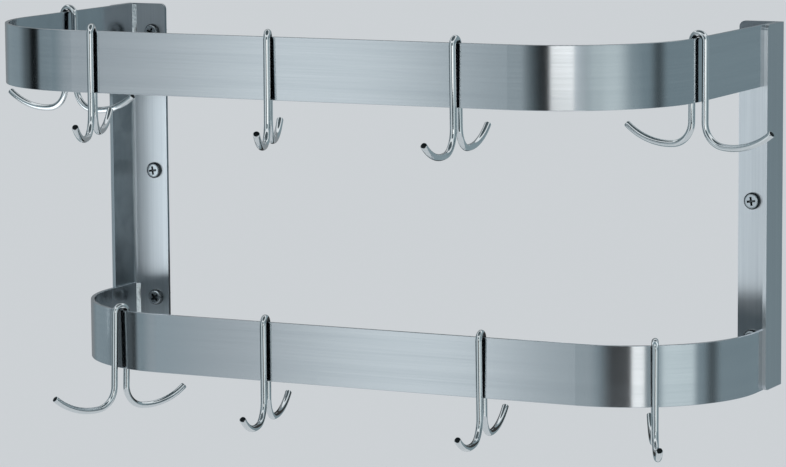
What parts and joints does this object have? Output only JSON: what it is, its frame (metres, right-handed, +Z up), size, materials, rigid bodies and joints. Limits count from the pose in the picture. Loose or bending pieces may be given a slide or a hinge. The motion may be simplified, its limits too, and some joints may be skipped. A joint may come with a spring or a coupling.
{
  "type": "wall-mounted pot rack",
  "caption": "Wall pot rack: two bent flat bars with rounded front corners, one above the other, between two angle brackets, with loose double hooks over the bars.",
  "frame": {"origin": "on the wall plane, in the middle of the four corner screws", "axes": "+X along the wall to the right as seen from the front, +Y into the wall, +Z up"},
  "size_m": [0.7528, 0.3864, 0.3494],
  "materials": {
    "satin_bar": "satin stainless flat bar, brushed along its length",
    "satin_angle": "satin stainless angle, brushed along its length",
    "weld_metal": "ground and polished weld bead",
    "screw_steel": "plain steel pan-head screw with a cross recess",
    "plated_rod": "smooth bright plated round rod"
  },
  "bodies": {
    "root": {"upper_band": "satin_bar", "lower_band": "satin_bar", "left_bracket": "satin_angle", "right_bracket": "satin_angle", "upper_left_weld": "weld_metal", "upper_right_weld": "weld_metal", "lower_left_weld": "weld_metal", "lower_right_weld": "weld_metal", "low_left_screw": "screw_steel", "middle_left_screw": "screw_steel", "high_left_screw": "screw_steel", "low_right_screw": "screw_steel", "middle_right_screw": "screw_steel", "high_right_screw": "screw_steel", "upper_hook_1": "plated_rod", "upper_hook_2": "plated_rod", "upper_hook_3": "plated_rod", "upper_hook_4": "plated_rod", "upper_hook_5": "plated_rod", "lower_hook_1": "plated_rod", "lower_hook_2": "plated_rod", "lower_hook_3": "plated_rod", "lower_hook_4": "plated_rod"}
  },
  "joints": []
}
